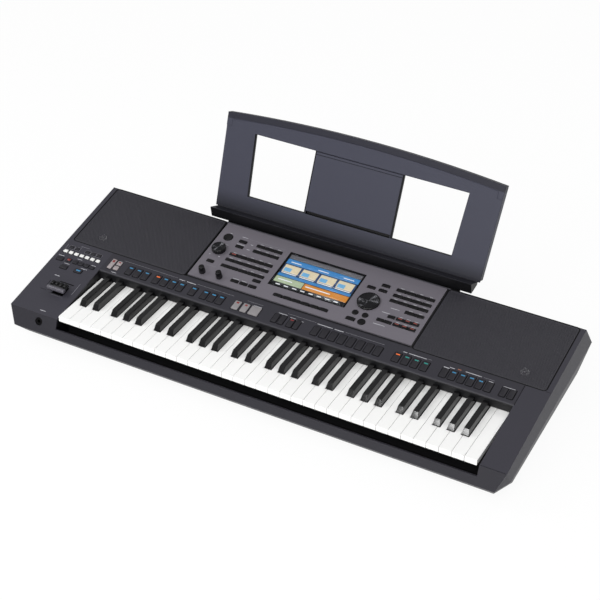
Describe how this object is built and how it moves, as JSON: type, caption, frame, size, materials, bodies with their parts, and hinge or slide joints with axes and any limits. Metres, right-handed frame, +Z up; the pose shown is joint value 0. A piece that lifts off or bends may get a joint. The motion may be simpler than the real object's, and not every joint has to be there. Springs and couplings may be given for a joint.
{
  "type": "arranger keyboard",
  "caption": "Full-size electronic arranger keyboard: sprung keys, sloping control panel with colour screen, dials, push buttons and joystick, built-in speakers and a lift-off music rest.",
  "frame": {"origin": "middle of the whole footprint, music rest included, on the floor under the rubber feet", "axes": "+X towards the treble end, +Y towards the rear and the music rest, +Z up"},
  "size_m": [1.017, 0.4954, 0.3294],
  "materials": {
    "case_plastic": "fine matte texture",
    "rest_plastic": "fine matte texture",
    "grille_metal": "perforated, satin",
    "panel_plastic": "satin metallic",
    "screen_glass": "gloss",
    "display": "lit display",
    "key_white": "satin",
    "key_black": "satin",
    "button_dark": "satin",
    "button_white": "satin",
    "knob_gloss": "gloss rim, spun top",
    "inner_plastic": "plain",
    "steel": "plain",
    "frame_metal": "black paint",
    "felt": "pressed felt",
    "board": "solder mask",
    "speaker": "paper cone and basket",
    "rubber": "matte"
  },
  "bodies": {
    "case": {"case_screws": "steel", "centre_panel": "panel_plastic", "control_panel": "case_plastic", "data_sockets": "inner_plastic", "headphone_jack": "inner_plastic", "joystick_base": "inner_plastic", "key_contact_board": "board", "key_felt": "felt", "key_frame": "frame_metal", "key_springs": "steel", "lcd_module": "display", "left_end_rail": "case_plastic", "left_speaker_grille": "grille_metal", "lower_case": "case_plastic", "main_board": "board", "panel_boards": "board", "power_inlet": "inner_plastic", "rear_jacks": "inner_plastic", "rear_panel": "case_plastic", "right_cheek_panel": "case_plastic", "right_end_rail": "case_plastic", "right_speaker_grille": "grille_metal", "rubber_feet": "rubber", "screen_glass": "screen_glass", "speaker_trays": "case_plastic", "supply_board": "board", "tweeters": "speaker", "woofers": "speaker"},
    "music_rest": {"music_rest": "rest_plastic"},
    "joystick_gimbal": {"joystick_gimbal": "inner_plastic"},
    "joystick_paddle": {"joystick_paddle": "button_dark"},
    "volume_dial": {"volume_dial": "knob_gloss"},
    "left_assign_knob": {"left_assign_knob": "knob_gloss"},
    "right_assign_knob": {"right_assign_knob": "knob_gloss"},
    "data_dial": {"data_dial": "knob_gloss"},
    "power_button": {"power_button": "button_dark"},
    "style_buttons": {"style_buttons": "button_dark"},
    "playback_buttons": {"playback_buttons": "button_dark"},
    "memory_buttons": {"memory_buttons": "button_dark"},
    "setup_buttons": {"setup_buttons": "button_dark"},
    "pad_buttons": {"pad_buttons": "button_dark"},
    "transpose_buttons": {"transpose_buttons": "button_dark"},
    "tempo_pads": {"tempo_pads": "button_dark"},
    "cheek_buttons": {"cheek_buttons": "button_dark"},
    "white_buttons": {"white_buttons": "button_white"},
    "menu_buttons": {"menu_buttons": "button_dark"},
    "screen_buttons": {"screen_buttons": "button_dark"},
    "voice_buttons": {"voice_buttons": "button_dark"},
    "keys_c": {"keys_c": "key_white"},
    "keys_c_sharp": {"keys_c_sharp": "key_black"},
    "keys_d": {"keys_d": "key_white"},
    "keys_d_sharp": {"keys_d_sharp": "key_black"},
    "keys_e": {"keys_e": "key_white"},
    "keys_f": {"keys_f": "key_white"},
    "keys_f_sharp": {"keys_f_sharp": "key_black"},
    "keys_g": {"keys_g": "key_white"},
    "keys_g_sharp": {"keys_g_sharp": "key_black"},
    "keys_a": {"keys_a": "key_white"},
    "keys_a_sharp": {"keys_a_sharp": "key_black"},
    "keys_b": {"keys_b": "key_white"}
  },
  "joints": [
    {"name": "music_rest_lift", "type": "slide", "parent": "case", "child": "music_rest", "axis": [0, 0.3971, 0.9178], "range_m": [0, 0.075]},
    {"name": "keys_c_press", "type": "hinge", "parent": "case", "child": "keys_c", "pos_m": [0, -0.02914, 0.068], "axis": [1, 0, 0], "range_deg": [0, 3], "stiffness_Nm_per_rad": 2, "springref_deg": -20.05},
    {"name": "keys_c_sharp_press", "type": "hinge", "parent": "case", "child": "keys_c_sharp", "pos_m": [0, -0.02914, 0.068], "axis": [1, 0, 0], "range_deg": [0, 3], "stiffness_Nm_per_rad": 2, "springref_deg": -20.05},
    {"name": "keys_d_press", "type": "hinge", "parent": "case", "child": "keys_d", "pos_m": [0, -0.02914, 0.068], "axis": [1, 0, 0], "range_deg": [0, 3], "stiffness_Nm_per_rad": 2, "springref_deg": -20.05},
    {"name": "keys_d_sharp_press", "type": "hinge", "parent": "case", "child": "keys_d_sharp", "pos_m": [0, -0.02914, 0.068], "axis": [1, 0, 0], "range_deg": [0, 3], "stiffness_Nm_per_rad": 2, "springref_deg": -20.05},
    {"name": "keys_e_press", "type": "hinge", "parent": "case", "child": "keys_e", "pos_m": [0, -0.02914, 0.068], "axis": [1, 0, 0], "range_deg": [0, 3], "stiffness_Nm_per_rad": 2, "springref_deg": -20.05},
    {"name": "keys_f_press", "type": "hinge", "parent": "case", "child": "keys_f", "pos_m": [0, -0.02914, 0.068], "axis": [1, 0, 0], "range_deg": [0, 3], "stiffness_Nm_per_rad": 2, "springref_deg": -20.05},
    {"name": "keys_f_sharp_press", "type": "hinge", "parent": "case", "child": "keys_f_sharp", "pos_m": [0, -0.02914, 0.068], "axis": [1, 0, 0], "range_deg": [0, 3], "stiffness_Nm_per_rad": 2, "springref_deg": -20.05},
    {"name": "keys_g_press", "type": "hinge", "parent": "case", "child": "keys_g", "pos_m": [0, -0.02914, 0.068], "axis": [1, 0, 0], "range_deg": [0, 3], "stiffness_Nm_per_rad": 2, "springref_deg": -20.05},
    {"name": "keys_g_sharp_press", "type": "hinge", "parent": "case", "child": "keys_g_sharp", "pos_m": [0, -0.02914, 0.068], "axis": [1, 0, 0], "range_deg": [0, 3], "stiffness_Nm_per_rad": 2, "springref_deg": -20.05},
    {"name": "keys_a_press", "type": "hinge", "parent": "case", "child": "keys_a", "pos_m": [0, -0.02914, 0.068], "axis": [1, 0, 0], "range_deg": [0, 3], "stiffness_Nm_per_rad": 2, "springref_deg": -20.05},
    {"name": "keys_a_sharp_press", "type": "hinge", "parent": "case", "child": "keys_a_sharp", "pos_m": [0, -0.02914, 0.068], "axis": [1, 0, 0], "range_deg": [0, 3], "stiffness_Nm_per_rad": 2, "springref_deg": -20.05},
    {"name": "keys_b_press", "type": "hinge", "parent": "case", "child": "keys_b", "pos_m": [0, -0.02914, 0.068], "axis": [1, 0, 0], "range_deg": [0, 3], "stiffness_Nm_per_rad": 2, "springref_deg": -20.05},
    {"name": "joystick_pitch", "type": "hinge", "parent": "case", "child": "joystick_gimbal", "pos_m": [-0.4376, -0.16419, 0.05682], "axis": [1, 0, 0], "range_deg": [-12, 12], "stiffness_Nm_per_rad": 0.3},
    {"name": "joystick_roll", "type": "hinge", "parent": "joystick_gimbal", "child": "joystick_paddle", "pos_m": [-0.4376, -0.16419, 0.05682], "axis": [0, 0.984, 0.1781], "range_deg": [-12, 12], "stiffness_Nm_per_rad": 0.3},
    {"name": "volume_turn", "type": "hinge", "parent": "case", "child": "volume_dial", "pos_m": [-0.213, 0.0468, 0.12245], "axis": [0, -0.1781, 0.984], "range_deg": [-150, 150]},
    {"name": "left_assign_knob_turn", "type": "hinge", "parent": "case", "child": "left_assign_knob", "pos_m": [-0.2112, -0.01913, 0.11052], "axis": [0, -0.1781, 0.984], "range_deg": [-150, 150]},
    {"name": "right_assign_knob_turn", "type": "hinge", "parent": "case", "child": "right_assign_knob", "pos_m": [-0.1738, -0.01913, 0.11052], "axis": [0, -0.1781, 0.984], "range_deg": [-150, 150]},
    {"name": "data_dial_turn", "type": "hinge", "parent": "case", "child": "data_dial", "pos_m": [0.1156, 0.03351, 0.12005], "axis": [0, -0.1781, 0.984], "continuous": true},
    {"name": "power_button_push", "type": "slide", "parent": "case", "child": "power_button", "axis": [0, 0.1781, -0.984], "range_m": [0, 0.001], "stiffness_N_per_m": 800, "springref_m": -0.002},
    {"name": "style_buttons_push", "type": "slide", "parent": "case", "child": "style_buttons", "axis": [0, 0.1781, -0.984], "range_m": [0, 0.001], "stiffness_N_per_m": 800, "springref_m": -0.002},
    {"name": "playback_buttons_push", "type": "slide", "parent": "case", "child": "playback_buttons", "axis": [0, 0.1781, -0.984], "range_m": [0, 0.001], "stiffness_N_per_m": 800, "springref_m": -0.002},
    {"name": "memory_buttons_push", "type": "slide", "parent": "case", "child": "memory_buttons", "axis": [0, 0.1781, -0.984], "range_m": [0, 0.001], "stiffness_N_per_m": 800, "springref_m": -0.002},
    {"name": "setup_buttons_push", "type": "slide", "parent": "case", "child": "setup_buttons", "axis": [0, 0.1781, -0.984], "range_m": [0, 0.001], "stiffness_N_per_m": 800, "springref_m": -0.002},
    {"name": "pad_buttons_push", "type": "slide", "parent": "case", "child": "pad_buttons", "axis": [0, 0.1781, -0.984], "range_m": [0, 0.001], "stiffness_N_per_m": 800, "springref_m": -0.002},
    {"name": "transpose_buttons_push", "type": "slide", "parent": "case", "child": "transpose_buttons", "axis": [0, 0.1781, -0.984], "range_m": [0, 0.001], "stiffness_N_per_m": 800, "springref_m": -0.002},
    {"name": "tempo_pads_push", "type": "slide", "parent": "case", "child": "tempo_pads", "axis": [0, 0.1781, -0.984], "range_m": [0, 0.001], "stiffness_N_per_m": 800, "springref_m": -0.002},
    {"name": "cheek_buttons_push", "type": "slide", "parent": "case", "child": "cheek_buttons", "axis": [0, 0.1781, -0.984], "range_m": [0, 0.001], "stiffness_N_per_m": 800, "springref_m": -0.002},
    {"name": "white_buttons_push", "type": "slide", "parent": "case", "child": "white_buttons", "axis": [0, 0.1781, -0.984], "range_m": [0, 0.001], "stiffness_N_per_m": 800, "springref_m": -0.002},
    {"name": "menu_buttons_push", "type": "slide", "parent": "case", "child": "menu_buttons", "axis": [0, 0.1781, -0.984], "range_m": [0, 0.001], "stiffness_N_per_m": 800, "springref_m": -0.002},
    {"name": "screen_buttons_push", "type": "slide", "parent": "case", "child": "screen_buttons", "axis": [0, 0.1781, -0.984], "range_m": [0, 0.001], "stiffness_N_per_m": 800, "springref_m": -0.002},
    {"name": "voice_buttons_push", "type": "slide", "parent": "case", "child": "voice_buttons", "axis": [0, 0.1781, -0.984], "range_m": [0, 0.001], "stiffness_N_per_m": 800, "springref_m": -0.002}
  ]
}
